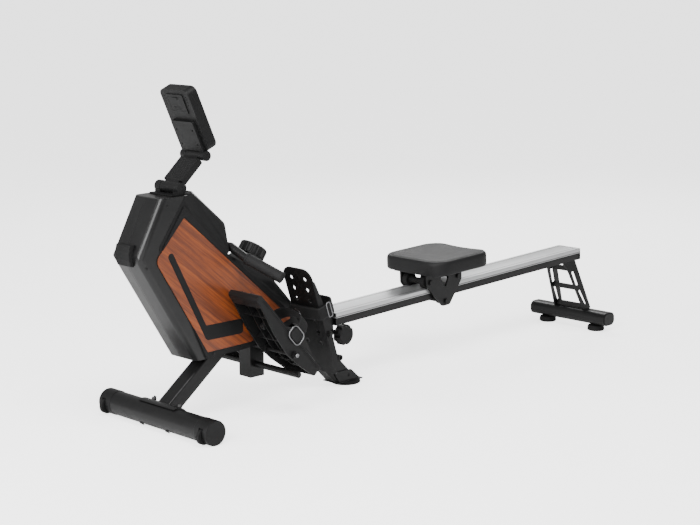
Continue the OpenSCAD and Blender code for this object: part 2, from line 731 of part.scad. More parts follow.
// Strap that arches over a pedal, with its side ring
arch_x = -143;
arch_h = 72;
module pedal_strap() in_pedal() {
    mid = -(foot_inner_y + foot_outer_y) / 2;
    w = foot_outer_y - foot_inner_y;
    yz(arch_x - 20, arch_x + 20) intersection() {
        difference() {
            translate([mid, arch_h - 90]) rounded_square(w + 5, 180, 46);
            translate([mid, arch_h - 92.5]) rounded_square(w + 0.1, 180, 44);
        }
        translate([mid - 100, -22]) square([200, 140]);
    }
    translate([arch_x, -foot_outer_y - 4.2, 4]) rotate([90, 0, 0]) linear_extrude(3) difference() {
        rounded_square(46, 34, 12);
        rounded_square(38, 26, 8.5);
    }
}
module pedal_strap_left() row() color("#18181a") pedal_strap();
module pedal_strap_right() row() color("#18181a") mirror([0, 1, 0]) pedal_strap();

module in_plate() { translate([plate_heel[0], 0, plate_heel[1]]) rotate([0, plate_tilt, 0]) children(); }
function into(v, a) = [v[0] * cos(a) - v[1] * sin(a), v[0] * sin(a) + v[1] * cos(a)];
plate_pivot = into(plate_axle_at - plate_heel, plate_tilt);
plate_inner = foot_inner_y;
plate_outer = foot_outer_y - 3;

module foot_plate() in_plate() difference() {
    union() {
        // Plate, narrower at the heel; drawn in x and y
        translate([0, 0, -4]) linear_extrude(4) polygon(rounded(
            [[-plate_l, -plate_inner], [-plate_l, -plate_outer], [0, -plate_outer], [0, -plate_inner - 42],
             [-90, -plate_inner - 22], [-190, -plate_inner]], [32, 32, 8, 12, 60, 60]));
        // Outer flange, and a lug for the axle
        xz(-plate_outer, -plate_outer + 4) polygon(rounded([[-plate_l + 33, -4], [-8, -4], [-8, 8], [-60, 17],
            [-150, 18], [-230, 14], [-plate_l + 39, 4]], [0, 0, 4, 30, 30, 30, 3]));
        xz(-plate_inner - 30, -plate_inner - 24)
            polygon(rounded([[-150, -4], [-102, -4], [-108, 20], [-144, 20]], [0, 0, 9, 9]));
    }
    for (i = [0:6], y = [-plate_inner - 31, -plate_inner - 86])
        translate([-plate_l + 32 + i * 33.5, y, -10]) cylinder(r = 6.5, h = 20);
    bar(plate_pivot, -plate_outer - 5, -plate_inner, 6 + run_fit);
}
module foot_plate_left() row() color("#1c1c1e") foot_plate();
module foot_plate_right() row() color("#1c1c1e") mirror([0, 1, 0]) foot_plate();

// Webbing loop round a foot plate: in front of it and arched behind it
loop_x = -196;
loop_h = 62;
module plate_strap() in_plate() {
    mid = -(plate_inner + plate_outer) / 2;
    w = plate_outer - plate_inner;
    yz(loop_x - 20, loop_x + 20) difference() {
        translate([mid, (loop_h - 11) / 2]) rounded_square(w + 9, loop_h + 11, 11);
        translate([mid, (loop_h - 11) / 2]) rounded_square(w + 4, loop_h + 6, 8.5);
    }
}
module plate_strap_left() row() color("#18181a") plate_strap();
module plate_strap_right() row() color("#18181a") mirror([0, 1, 0]) plate_strap();

// ---------------------------------------------------------------- rail

module in_rail() { translate([rail_at[0], 0, rail_at[1]]) rotate([0, -rail_slope, 0]) children(); }
rail_x1 = rail_x0 + rail_l;

module rail() row() color("#d8dadc") in_rail() yz(rail_x0, rail_x1) difference() {
    translate([0, -rail_top_h / 2]) rounded_square(rail_w, rail_top_h, 2);
    for (s = [-1, 0, 1]) translate([s * 30.4, -rail_top_h / 2]) rounded_square(28, rail_top_h - 5, 1.5);
}

module rail_channel() row() color("#1d1d1f") in_rail() yz(rail_x0, rail_x1) difference() {
    translate([-channel_w / 2, -rail_top_h - channel_h]) square([channel_w, channel_h - 0.02]);
    translate([-channel_w / 2 + 2, -rail_top_h - channel_h + 2]) square([channel_w - 4, channel_h - 4]);
}

// Fold pivot and lock screw in the rail's frame
fold_local = into(fold_at - rail_at, -rail_slope);
lock_local = into(lock_at - rail_at, -rail_slope);
module rail_bracket() row() color("#26262a") in_rail() {
    both() difference() {
        xz(31, 35) polygon(rounded([[-22, 10], [14, 10], [19, -18.8], [84, -18.8], [84, -36.8], [19.5, -36.8],
                                    [19.5, -66], [-22, -66]], [8, 6, 0, 0, 0, 0, 8, 8]));
        bar(fold_local, 20, 50, 6 + run_fit);
        // Open slot that lets the lock screw leave when the rail folds
        bar(lock_local, 20, 50, 6.8);
        xz(20, 50) polygon([[-40, lock_local[1] - 11], [-40, lock_local[1] + 15],
                            [lock_local[0], lock_local[1] + 6.8], [lock_local[0], lock_local[1] - 6.8]]);
    }
    grow_box([40, 84], [-31, 31], [-36.8, -33]);
}

// End cap, rubber stops for the seat, and their screws
module rail_trim() row() color("#19191a") in_rail() {
    yz(rail_x1 + 0.02, rail_x1 + 3) translate([0, -(rail_top_h + channel_h) / 2])
        rounded_square(rail_w, rail_top_h + channel_h, 4);
    for (x = [108, 1076]) translate([x, 0, -rail_top_h - channel_h - 9]) {
        cylinder(r = 10, h = 8.9);
    }
}

module fold_knob() row() color("#1f1f21") {
    bar(lock_at, -84, -24, 6);
    bar(lock_at, -39, -35.6, 13);
    for (y = [-48, -56, -64, -72]) bar(lock_at, y, y + 4, 7.4);
    translate([lock_at[0], -84, lock_at[1]]) rotate([90, 0, 0]) difference() {
        union() {
            cylinder(r1 = 24, r2 = 30, h = 5);
            translate([0, 0, 5]) cylinder(r = 31, h = 20);
            translate([0, 0, 25]) cylinder(r1 = 31, r2 = 26, h = 5);
        }
        for (i = [0:7]) rotate(i * 45) translate([33, 0, -1]) cylinder(r = 7, h = 40, $fn = 32);
    }
}

// ---------------------------------------------------------------- seat

module seat_pad() row() color("#2a2a2c") in_rail() translate([pad_x, 0, 0]) {
    translate([0, 0, pad_z[0]]) linear_extrude(pad_z[1] - pad_z[0] - 6) rounded_square(pad_side, pad_side, 45);
    translate([0, 0, pad_z[1] - 6.01]) linear_extrude(6) rounded_square(pad_side - 12, pad_side - 12, 40);
}

module seat_carriage() row() color("#2c2c2f") in_rail() {
    a = [hub_x[0], hub_z];
    b = [hub_x[1], hub_z];
    c = lower_hub;
    both() difference() {
        xz(53, 59) difference() {
            polygon(rounded([[a[0] - 17, 44], [b[0] + 17, 44], [b[0] + 17, hub_z - 12], [c[0] + 17, c[1] - 14],
                             [c[0] - 17, c[1] - 14], [a[0] - 17, hub_z - 12]], [2, 2, 14, 13, 13, 14]));
            polygon(rounded([[a[0] + 42, 30], [b[0] - 42, 30], [c[0], -8]], [5, 5, 5]));
        }
        for (h = [a, b, c]) bar(h, 40, 70, 5 + run_fit);
    }
    // Seat plate
    translate([pad_x - 5, 0, 44.02]) linear_extrude(5.9) rounded_square(210, 190, 20);
    // Axles with their heads
    for (h = [a, b, c]) {
        bar(h, -61, 61, 5);
        both() bar(h, -65, -61, 8.5);
    }
}

module roller_pair(at) difference() {
    union() {
        both() bar(at, -46, -28, wheel_r);
        both() bar(at, -51, -46, 9);
        bar(at, -28, 28, 10);
    }
    bar(at, -52, 52, 5 + run_fit);
}
module front_rollers() row() color("#1a1a1b") in_rail() roller_pair([hub_x[0], hub_z]);
module rear_rollers() row() color("#1a1a1b") in_rail() roller_pair([hub_x[1], hub_z]);
module lower_roller() row() color("#1a1a1b") in_rail() difference() {
    union() {
        bar(lower_hub, -51, 51, 8);
        both() bar(lower_hub, -42, -24, lower_roller_r);
    }
    bar(lower_hub, -52, 52, 5 + run_fit);
}

// ---------------------------------------------------------------- rear stand

stand_top = [1726, 240];
splay = 6.7;
module stand_side() {
    translate([0, -42, 239]) rotate([-splay, 0, 0]) translate([0, 3, -239]) xz(-6, 0) difference() {
        polygon(rounded([[1694, 240.4], [1758, 243.2], [1826, 65.5], [1786, 65.5], [1722, 205]], [0, 0, 4, 4, 20]));
        polygon(rounded([[1733, 206], [1750, 206], [1772, 152], [1755, 152]], 5));
        polygon(rounded([[1763, 138], [1778, 138], [1806, 84], [1797, 80]], [5, 5, 4, 4]));
    }
}
module rear_stand() row() color("#202022") difference() {
    union() {
        both() stand_side();
        for (bar_place = [[1740, 214, 43.5], [1764, 146, 51.5], [1797, 77, 59.5]])
            grow_box([bar_place[0] - 4, bar_place[0] + 4], [-bar_place[2], bar_place[2]],
                     [bar_place[1] - 8, bar_place[1] + 8]);
    }
    // Trim to the rail above and to the stabilizer below
    in_rail() grow_box([1050, 1250], [-60, 60], [-rail_top_h - channel_h - 0.02, 20]);
    grow_box([1700, 1900], [-90, 90], [0, rear_tube_z + rear_tube_h / 2 + 0.02]);
}

module rear_section(extra = 0) rounded_square(rear_tube_w + extra, rear_tube_h + extra, 18);
module rear_stabilizer() row() color("#1c1c1e") {
    half = rear_stabilizer_l / 2;
    difference() {
        translate([rear_x, 0, rear_tube_z]) xz(-half + 16, half - 16)
            difference() { rear_section(); rounded_square(rear_tube_w - 5, rear_tube_h - 5, 15.5); }
        for (y = [-foot_y, foot_y]) translate([rear_x, y, 0]) cylinder(r = 6 + run_fit, h = 40);
    }
    both() translate([rear_x, 0, rear_tube_z]) {
        xz(half - 15.98, half - 3) rear_section();
        xz(half - 3, half) rounded_square(rear_tube_w - 6, rear_tube_h - 6, 15);
    }
}

module levelling_foot() translate([rear_x, -foot_y, 0]) rotate_extrude($fn = 96)
    polygon([[0, 0], [26, 0], [29, 2.5], [29, 11], [28, 12.5], [28, 16], [25, 18.5], [9, 18.5], [7.5, 20],
             [7.5, rear_tube_z - rear_tube_h / 2 - 0.4], [6, rear_tube_z - rear_tube_h / 2 - 0.4], [6, 38], [0, 38]]);
module foot_left() row() color("#161617") levelling_foot();
module foot_right() row() color("#161617") mirror([0, 1, 0]) levelling_foot();

// ---------------------------------------------------------------- nodes

front_stabilizer();
front_caps();
transport_wheel_left();
transport_wheel_right();
front_leg();
main_beam();
pedal_post();
foot_axles();
mid_leg();
mid_foot();
cover_left();
cover_right();
spine_cover();
rear_cover();
front_bumper();
side_panels();
fasteners();
drive_axles();
drive_belt();
recoil_spring();
tension_cable();
arm_base();
flywheel();
drive_pulley();
strap_spool();
magnet_bracket();
tension_knob();
handle_bar();
handle_grips();
pull_strap();
console_arm();
tilt_pin();
console_back();
console_front();
console_screen();
mode_button();
battery_door();
batteries();
pedal_left();
pedal_right();
foot_plate_left();
foot_plate_right();
pedal_strap_left();
pedal_strap_right();
plate_strap_left();
plate_strap_right();
rail();
rail_channel();
rail_bracket();
rail_trim();
fold_knob();
seat_pad();
seat_carriage();
front_rollers();
rear_rollers();
lower_roller();
rear_stand();
rear_stabilizer();
foot_left();
foot_right();
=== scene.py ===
"""Looks of the folding rowing machine: materials, softened shells, seat pad, straps, light and camera.

Lengths are metres in the frame's own axes: +X runs from the drive end to the rear stand,
-Y is the seated rower's left and +Z is up.
"""

import json
import math

import bmesh
import bpy
from mathutils import Matrix, Vector


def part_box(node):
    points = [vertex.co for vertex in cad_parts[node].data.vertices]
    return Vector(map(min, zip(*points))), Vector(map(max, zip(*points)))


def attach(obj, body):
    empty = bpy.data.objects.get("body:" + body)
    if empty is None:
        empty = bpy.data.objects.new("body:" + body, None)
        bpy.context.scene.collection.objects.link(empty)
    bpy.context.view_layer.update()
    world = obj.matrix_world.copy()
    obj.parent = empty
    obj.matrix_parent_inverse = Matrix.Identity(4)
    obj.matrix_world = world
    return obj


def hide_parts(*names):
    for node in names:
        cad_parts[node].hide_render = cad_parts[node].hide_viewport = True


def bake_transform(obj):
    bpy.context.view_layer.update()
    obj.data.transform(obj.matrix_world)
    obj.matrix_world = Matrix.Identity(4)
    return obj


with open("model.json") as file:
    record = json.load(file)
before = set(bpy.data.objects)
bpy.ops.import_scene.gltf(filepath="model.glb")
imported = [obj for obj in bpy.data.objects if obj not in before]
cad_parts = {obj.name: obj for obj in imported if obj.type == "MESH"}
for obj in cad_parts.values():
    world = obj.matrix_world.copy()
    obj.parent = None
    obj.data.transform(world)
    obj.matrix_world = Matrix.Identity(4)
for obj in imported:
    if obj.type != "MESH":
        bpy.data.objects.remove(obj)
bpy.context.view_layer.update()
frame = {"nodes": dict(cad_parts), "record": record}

NODES = frame["nodes"]
RECORD = frame["record"]
BODY_OF = {n: body for body, members in RECORD["behaviour"]["bodies"].items() for n in members}
SLOT_OF = {s["node"]: s["material_slot"] for s in RECORD["subparts"]}
JOINT = {j["name"]: j for j in RECORD["behaviour"]["joints"]}

MM = 0.001
RAIL_SLOPE = math.radians(2.41)
PEDAL_TILT = math.radians(48.2)
PLATE_TILT = math.radians(71.9)
ARM_RISE = math.radians(42.3)
SIDES = (("left", -1), ("right", 1))   # name and sign of Y


def middle(node):
    """The middle of a CAD node's box."""
    low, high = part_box(node)
    return (low + high) / 2


AXIS_X = middle("front_stabilizer").x   # X of the front stabilizer, from which the design measures


def spot(x, y, z):
    """A point given in millimetres from the front stabilizer, the middle plane and the floor."""
    return Vector((AXIS_X + x * MM, y * MM, z * MM))


def leaning(origin, angle):
    """A frame at origin whose X axis drops by angle; its coordinates are millimetres."""
    return Matrix.Translation(origin) @ Matrix.Rotation(angle, 4, "Y") @ Matrix.Scale(MM, 4)


# ------------------------------------------------------------------ node helpers


class Shader:
    """A principled material that is built node by node."""

    def __init__(self, name):
        self.material = bpy.data.materials.new(name)
        self.material.use_nodes = True
        self.tree = self.material.node_tree
        self.bsdf = self.tree.nodes["Principled BSDF"]
        self.coords = self.tree.nodes.new("ShaderNodeTexCoord").outputs["Object"]

    def add(self, kind, **values):
        """Adds a node; a value is a number or colour for an input, or a socket to link from."""
        node = self.tree.nodes.new(kind)
        for key, value in values.items():
            if key[0].islower():
                setattr(node, key, value)
                continue
            self.feed(node.inputs[key.replace("_", " ")], value)
        return node

    def feed(self, target, value):
        if isinstance(value, bpy.types.NodeSocket):
            self.tree.links.new(value, target)
        else:
            target.default_value = value

    def set(self, **values):
        for key, value in values.items():
            self.feed(self.bsdf.inputs[key.replace("_", " ")], value)

    def mapped(self, scale=(1, 1, 1), rotation=(0, 0, 0)):
        """The object's coordinates, turned and stretched."""
        turned = self.add("ShaderNodeMapping", Vector=self.coords, Rotation=rotation)
        return self.add("ShaderNodeMapping", Vector=turned.outputs[0], Scale=scale).outputs[0]

    def noise(self, scale, detail=3.0, rough=0.5, vector=None, distortion=0.0):
        node = self.add("ShaderNodeTexNoise", Vector=vector or self.coords, Scale=scale, Detail=detail,
                        Roughness=rough, Distortion=distortion)
        return node.outputs["Fac"]

    def ramp(self, factor, stops):
        """A colour ramp with stops of (place, colour)."""
        node = self.add("ShaderNodeValToRGB", Fac=factor)
        ramp = node.color_ramp
        while len(ramp.elements) < len(stops):
            ramp.elements.new(0.5)
        for element, (place, colour) in zip(ramp.elements, stops):
            element.position = place
            element.color = (*colour, 1)
        return node.outputs["Color"]

    def span(self, factor, low, high, start=0.0, end=1.0):
        node = self.add("ShaderNodeMapRange", Value=factor)
        node.inputs["From Min"].default_value = start
        node.inputs["From Max"].default_value = end
        node.inputs["To Min"].default_value = low
        node.inputs["To Max"].default_value = high
        return node.outputs[0]

    def mix(self, factor, a, b, blend="MIX"):
        node = self.add("ShaderNodeMix", data_type="RGBA", blend_type=blend)
        self.feed(node.inputs[0], factor)
        self.feed(node.inputs[6], a)
        self.feed(node.inputs[7], b)
        return node.outputs[2]

    def math(self, operation, a, b=0.0):
        node = self.add("ShaderNodeMath", operation=operation)
        self.feed(node.inputs[0], a)
        self.feed(node.inputs[1], b)
        return node.outputs[0]

    def bump(self, height, distance, strength=1.0, below=None):
        node = self.add("ShaderNodeBump", Height=height, Distance=distance, Strength=strength)
        if below is not None:
            self.feed(node.inputs["Normal"], below)
        self.feed(self.bsdf.inputs["Normal"], node.outputs[0])
        return node.outputs[0]


def grey(value):
    return (value, value, value * 1.03)


def black_finish(name, tone, rough, grain, depth, coat=0.0, coat_rough=0.1, wear=0.25, spread=0.06):
    """Black paint or plastic: a fine grain, cloudy gloss and a trace of dust."""
    s = Shader(name)
    cloud = s.noise(14, 4, 0.6)
    speck = s.noise(900, 2, 0.7)
    dark, light = grey(tone * (1 - wear)), grey(tone * (1 + wear))
    shade = s.ramp(s.mix(0.35, cloud, speck), [(0.3, dark), (0.72, light)])
    smear = s.noise(30, 5, 0.65, distortion=0.4)
    s.set(Base_Color=shade, Roughness=s.span(smear, rough - spread, rough + spread, 0.3, 0.7))
    s.set(Coat_Weight=coat, Coat_Roughness=coat_rough, Specular_IOR_Level=0.22)
    s.bump(s.noise(grain, 2, 0.55), depth)
    return s


def powder_coat():
    return black_finish("powder_coat", 0.006, 0.40, 1300, 0.00006, coat=0.15, coat_rough=0.25).material


def moulded_plastic():
    return black_finish("moulded_plastic", 0.007, 0.46, 2200, 0.00009).material


def near(s, value, place, half):
    """1 where value lies within half of place, and 0 elsewhere."""
    away = s.math("ABSOLUTE", s.math("SUBTRACT", value, place))
    return s.span(away, 1.0, 0.0, half, half * 1.6)


def glossy_plastic():
    """Moulded cover whose two halves meet in a fine seam along the middle plane."""
    s = Shader("glossy_plastic")
    cloud = s.noise(14, 4, 0.6)
    smear = s.noise(24, 5, 0.65, distortion=0.4)
    across = s.add("ShaderNodeSeparateXYZ", Vector=s.coords).outputs["Y"]
    seam = near(s, across, 0.0, 0.0006)
    shade = s.ramp(cloud, [(0.3, grey(0.005)), (0.72, grey(0.008))])
    s.set(Base_Color=s.mix(seam, shade, (0.002, 0.002, 0.002, 1)))
    s.set(Roughness=s.span(smear, 0.28, 0.36, 0.3, 0.7), Coat_Weight=0.2, Coat_Roughness=0.2,
          Specular_IOR_Level=0.3)
    grain = s.bump(s.noise(900, 2, 0.55), 0.00002, 0.6)
    s.bump(s.math("SUBTRACT", 1.0, seam), 0.0006, 1.0, below=grain)
    return s.material


def rubber():
    return black_finish("rubber", 0.007, 0.72, 1600, 0.0001, wear=0.35).material


def grip_foam():
    return black_finish("grip_foam", 0.009, 0.62, 2600, 0.00025, wear=0.3).material


def seat_vinyl():
    s = Shader("seat_vinyl")
    cells = s.add("ShaderNodeTexVoronoi", Vector=s.coords, Scale=620, feature="DISTANCE_TO_EDGE")
    pores = s.span(cells.outputs["Distance"], 0.0, 1.0, 0.0, 0.28)
    cloud = s.noise(9, 4, 0.6)
    tone = s.ramp(s.mix(0.4, cloud, pores), [(0.25, grey(0.006)), (0.8, grey(0.012))])
    s.set(Base_Color=tone, Roughness=s.span(cloud, 0.46, 0.56, 0.3, 0.7))
    s.set(Sheen_Weight=0.02, Sheen_Roughness=0.4, Specular_IOR_Level=0.22)
    soft = s.bump(s.noise(55, 3, 0.5), 0.0004, 0.5)
    s.bump(pores, 0.00012, 0.7, below=soft)
    return s.material


def webbing():
    """Woven black tape: ribs across and fine threads along, laid out by the strap's own map in metres."""
    s = Shader("webbing")
    uv = s.add("ShaderNodeTexCoord").outputs["UV"]
    along = s.add("ShaderNodeSeparateXYZ", Vector=uv)
    ribs = s.add("ShaderNodeTexWave", Vector=uv, Scale=110, wave_type="BANDS",
                 bands_direction="X").outputs["Fac"]
    threads = s.add("ShaderNodeTexWave", Vector=uv, Scale=190, wave_type="BANDS",
                    bands_direction="Y").outputs["Fac"]
    weave = s.math("MULTIPLY", s.span(ribs, 0.45, 1.0), s.span(threads, 0.55, 1.0))
    fuzz = s.noise(700, 3, 0.7)
    hem = near(s, s.math("ABSOLUTE", along.outputs["Y"]), 0.0165, 0.0009)
    tone = s.ramp(s.mix(0.35, weave, fuzz), [(0.25, grey(0.002)), (0.85, grey(0.007))])
    s.set(Base_Color=s.mix(hem, tone, (0.014, 0.014, 0.015, 1)))
    s.set(Roughness=s.span(fuzz, 0.72, 0.86, 0.3, 0.7), Sheen_Weight=0.04, Sheen_Roughness=0.5,
          Specular_IOR_Level=0.25)
    s.bump(weave, 0.00035, 0.8)
    return s.material


def brushed(name, colour, rough, stretch):
    s = Shader(name)
    lines = s.noise(1.0, 6, 0.75, vector=s.mapped(stretch))
    broad = s.noise(8, 3, 0.5)
    dark = tuple(c * 0.82 for c in colour)
    s.set(Base_Color=s.ramp(s.mix(0.3, lines, broad), [(0.3, dark), (0.7, colour)]))
    s.set(Metallic=1.0, Roughness=s.span(lines, rough - 0.07, rough + 0.09, 0.3, 0.7))
    s.set(Anisotropic=0.35)
    s.bump(lines, 0.00004, 0.6)
    return s.material


def extruded_aluminium():
    """Brushed rail with fine grooves along its sides and its top, pressed in by bump and painted near black
    as painted shade.
    """
    s = Shader("brushed_aluminium")
    lowered = s.add("ShaderNodeVectorMath", operation="SUBTRACT")
    s.feed(lowered.inputs[0], s.coords)
    s.feed(lowered.inputs[1], tuple(spot(600, 0, 232.3)))
    level = s.add("ShaderNodeMapping", Vector=lowered.outputs[0], Rotation=(0, RAIL_SLOPE, 0)).outputs[0]
    part = s.add("ShaderNodeSeparateXYZ", Vector=level)
    drawn = s.add("ShaderNodeMapping", Vector=level, Scale=(3, 900, 900)).outputs[0]
    lines = s.noise(1.0, 6, 0.75, vector=drawn)
    broad = s.noise(8, 3, 0.5)
    aside = s.math("ABSOLUTE", part.outputs["Y"])
    top_face = s.math("GREATER_THAN", part.outputs["Z"], -0.001)
    side_face = s.math("GREATER_THAN", aside, 0.046)
    on_top = s.math("MULTIPLY", near(s, aside, 0.031, 0.0011), top_face)
    on_side = s.math("MULTIPLY", near(s, part.outputs["Z"], -0.0128, 0.0009), side_face)
    groove_and_shade = s.math("MAXIMUM", on_top, on_side)
    metal = s.ramp(s.mix(0.3, lines, broad), [(0.3, (0.50, 0.505, 0.51)), (0.7, (0.66, 0.665, 0.67))])
    # painted shade: the groove lines are painted near black, standing in for the shade that falls inside the
    # grooves
    s.set(Base_Color=s.mix(groove_and_shade, metal, (0.10, 0.10, 0.10, 1)), Metallic=0.85)
    s.set(Roughness=s.span(lines, 0.30, 0.44, 0.3, 0.7), Anisotropic=0.3)
    fine = s.bump(lines, 0.00004, 0.5)
    s.bump(s.math("SUBTRACT", 1.0, groove_and_shade), 0.0005, 1.0, below=fine)
    return s.material


def wood(slope):
    """Orange-brown laminate whose grain runs down to the rear at the given slope."""
    s = Shader("wood_laminate")
    along = s.mapped((1.0, 1.0, 1.0), (0, -slope, 0))
    warp = s.noise(3.2, 3, 0.5, vector=s.add("ShaderNodeMapping", Vector=along, Scale=(1.2, 1, 4)).outputs[0])
    moved = s.add("ShaderNodeVectorMath", operation="ADD")
    s.feed(moved.inputs[0], along)
    shift = s.add("ShaderNodeCombineXYZ", Z=s.span(warp, -0.009, 0.009))
    s.feed(moved.inputs[1], shift.outputs[0])

    def stretched(x, z):
        return s.add("ShaderNodeMapping", Vector=moved.outputs[0], Scale=(x, 1, z)).outputs[0]

    bands = s.noise(1.0, 4, 0.6, vector=stretched(2.2, 62))
    streaks = s.noise(1.0, 5, 0.7, vector=stretched(3.6, 210))
    fibres = s.noise(1.0, 3, 0.8, vector=stretched(22, 900))
    base = s.ramp(s.mix(0.45, bands, streaks), [
        (0.34, (0.048, 0.010, 0.003)), (0.45, (0.125, 0.027, 0.006)), (0.53, (0.215, 0.047, 0.008)),
        (0.66, (0.330, 0.080, 0.012))])
    pores = s.ramp(fibres, [(0.38, (0.55, 0.50, 0.48)), (0.55, (1.0, 1.0, 1.0))])
    s.set(Base_Color=s.mix(0.7, base, pores, "MULTIPLY"))
    s.set(Roughness=s.span(streaks, 0.36, 0.48, 0.3, 0.7), Coat_Weight=0.12, Coat_Roughness=0.3)
    s.bump(fibres, 0.00005, 0.6)
    return s.material


def machined_iron():
    s = Shader("machined_iron")
    rings = s.add("ShaderNodeTexNoise", Vector=s.coords, Scale=220, Detail=4).outputs["Fac"]
    s.set(Base_Color=s.ramp(rings, [(0.3, grey(0.16)), (0.7, grey(0.26))]), Metallic=0.9)
    s.set(Roughness=s.span(rings, 0.35, 0.55, 0.3, 0.7))
    s.bump(rings, 0.0001, 0.5)
    return s.material


def display_glass():
    s = Shader("display_glass")
    cloud = s.noise(30, 3, 0.5)
    s.set(Base_Color=s.ramp(cloud, [(0.3, (0.16, 0.20, 0.18)), (0.7, (0.20, 0.25, 0.22))]))
    s.set(Roughness=s.span(cloud, 0.10, 0.16, 0.3, 0.7), Coat_Weight=0.8, Coat_Roughness=0.04)
    return s.material


def cell_sleeve():
    s = Shader("cell_sleeve")
    cloud = s.noise(60, 3, 0.5)
    s.set(Base_Color=s.ramp(cloud, [(0.3, (0.25, 0.13, 0.045)), (0.7, (0.34, 0.19, 0.06))]))
    s.set(Roughness=s.span(cloud, 0.28, 0.36, 0.3, 0.7))
    return s.material


GRAIN_SLOPE = math.radians(39)
MATERIALS = {
    "black_steel": powder_coat(),
    "black_plastic": moulded_plastic(),
    "gloss_cover": glossy_plastic(),
    "wood_panel": wood(GRAIN_SLOPE),
    "bare_metal": brushed("bright_steel", (0.30, 0.30, 0.31), 0.30, (300, 300, 300)),
    "aluminium": extruded_aluminium(),
    "black_rubber": rubber(),
    "grip_foam": grip_foam(),
    "seat_vinyl": seat_vinyl(),
    "webbing": webbing(),
    "display": display_glass(),
    "cast_wheel": machined_iron(),
    "cell": cell_sleeve(),
}


def dress(obj, slot):
    obj.data.materials.clear()
    obj.data.materials.append(MATERIALS[slot])


def add_piece(name, mesh, slot, body):
    """Shows a mesh with a slot's material; it moves with a body, unless body is None."""
    obj = bpy.data.objects.new(name, mesh)
    bpy.context.collection.objects.link(obj)
    dress(obj, slot)
    if body:
        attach(obj, body)
    return obj


for name, node in NODES.items():
    dress(node, SLOT_OF[name])


# ------------------------------------------------------------------ softened copies of CAD shells


def rounded_edges(obj, width, segments=2, angle=30):
    """Bevels the sharp edges and keeps flat faces flat in shading."""
    obj.data.shade_smooth()
    bevel = obj.modifiers.new("edge", "BEVEL")
    bevel.width = width
    bevel.segments = segments
    bevel.limit_method = "ANGLE"
    bevel.angle_limit = math.radians(angle)
    bevel.miter_outer = "MITER_ARC"
    flat = obj.modifiers.new("flat_faces", "WEIGHTED_NORMAL")
    flat.mode = "FACE_AREA_WITH_ANGLE"
    flat.weight = 50


def softened(name, width):
    """A copy of a CAD node with small rounded edges, shown in its place."""
    mesh = NODES[name].data.copy()
    work = bmesh.new()
    work.from_mesh(mesh)
    bmesh.ops.remove_doubles(work, verts=work.verts, dist=2e-6)
    bmesh.ops.dissolve_limit(work, angle_limit=math.radians(0.6), verts=work.verts, edges=work.edges)
    work.to_mesh(mesh)
    work.free()
    obj = add_piece(name + "_shown", mesh, SLOT_OF[name], BODY_OF[name])
    rounded_edges(obj, width)
    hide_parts(name)
    return obj


SOFT_EDGES = {
    "spine_cover": 0.0016, "rear_cover": 0.0018, "cover_left": 0.0012, "cover_right": 0.0012,
    "front_bumper": 0.0025, "main_beam": 0.0012, "pedal_post": 0.0015, "front_leg": 0.0008,
    "mid_leg": 0.0008, "console_back": 0.0014, "console_front": 0.0016, "console_arm": 0.0008,
    "arm_base": 0.0012, "battery_door": 0.0006, "mode_button": 0.0012, "pedal_left": 0.0008,
    "pedal_right": 0.0008, "foot_plate_left": 0.0008, "foot_plate_right": 0.0008,
    "front_caps": 0.0010, "rail_channel": 0.0008, "rail_bracket": 0.0006, "rail_trim": 0.0012,
    "fold_knob": 0.0016, "tension_knob": 0.0012, "seat_carriage": 0.0006, "rear_stand": 0.0008,
    "rear_stabilizer": 0.0010, "handle_grips": 0.0008, "rail": 0.0006, "side_panels": 0.0005,
}
for name, width in SOFT_EDGES.items():
    softened(name, width)


# ------------------------------------------------------------------ swept pieces and outlines


def mesh_of(name, points, faces):
    mesh = bpy.data.meshes.new(name)
    mesh.from_pydata([tuple(p) for p in points], [], faces)
    mesh.validate()
    mesh.shade_smooth()
    return mesh


def skin(rows, sides, closed=False):
    """Faces between rings of points that follow one another; a closed skin joins the last to the first."""
    faces = []
    for i in range(rows if closed else rows - 1):
        shift = sides if i + 1 < rows else -i * sides
        for k in range(sides):
            a, b = i * sides + k, i * sides + (k + 1) % sides
            faces.append((a, b, b + shift, a + shift))
    return faces


def end_faces(rows, sides):
    return [tuple(range(sides))[::-1], tuple(range((rows - 1) * sides, rows * sides))]


def look_outwards(mesh):
    work = bmesh.new()
    work.from_mesh(mesh)
    bmesh.ops.recalc_face_normals(work, faces=work.faces)
    work.to_mesh(mesh)
    work.free()
    return mesh


def arc(centre, radius, start, end, steps=8):
    """Points of an arc in a plane, in degrees."""
    turns = [math.radians(start + (end - start) * i / steps) for i in range(steps + 1)]
    return [(centre[0] + radius * math.cos(t), centre[1] + radius * math.sin(t)) for t in turns]


def band(name, path, across, width, thick, closed=False):
    """A flat strap along path whose width lies along the unit vector across; its map is in metres."""
    edge = [(-0.5, 0.0), (-0.485, 0.42), (-0.40, 0.5), (0.40, 0.5), (0.485, 0.42),
            (0.5, 0.0), (0.485, -0.42), (0.40, -0.5), (-0.40, -0.5), (-0.485, -0.42)]
    count, sides = len(path), len(edge)
    points, run = [], [0.0]
    for i, here in enumerate(path):
        after = path[(i + 1) % count] if closed else path[min(i + 1, count - 1)]
        before = path[i - 1] if closed else path[max(i - 1, 0)]
        up = (after - before).normalized().cross(across).normalized()
        points += [here + across * (a * width) + up * (b * thick) for a, b in edge]
        run.append(run[-1] + (after - here).length)
    faces = skin(count, sides, closed) + ([] if closed else end_faces(count, sides))
    mesh = mesh_of(name, points, faces)
    layer = mesh.uv_layers.new(name="strap")
    for polygon in mesh.polygons:
        for loop in polygon.loop_indices:
            vertex = mesh.loops[loop].vertex_index
            row, k = divmod(vertex, sides)
            first = min(mesh.loops[n].vertex_index // sides for n in polygon.loop_indices)
            wraps = closed and row == 0 and first == 0 and polygon.index >= (count - 1) * sides
            layer.data[loop].uv = (run[count] if wraps else run[row], edge[k][0] * width)
    return mesh


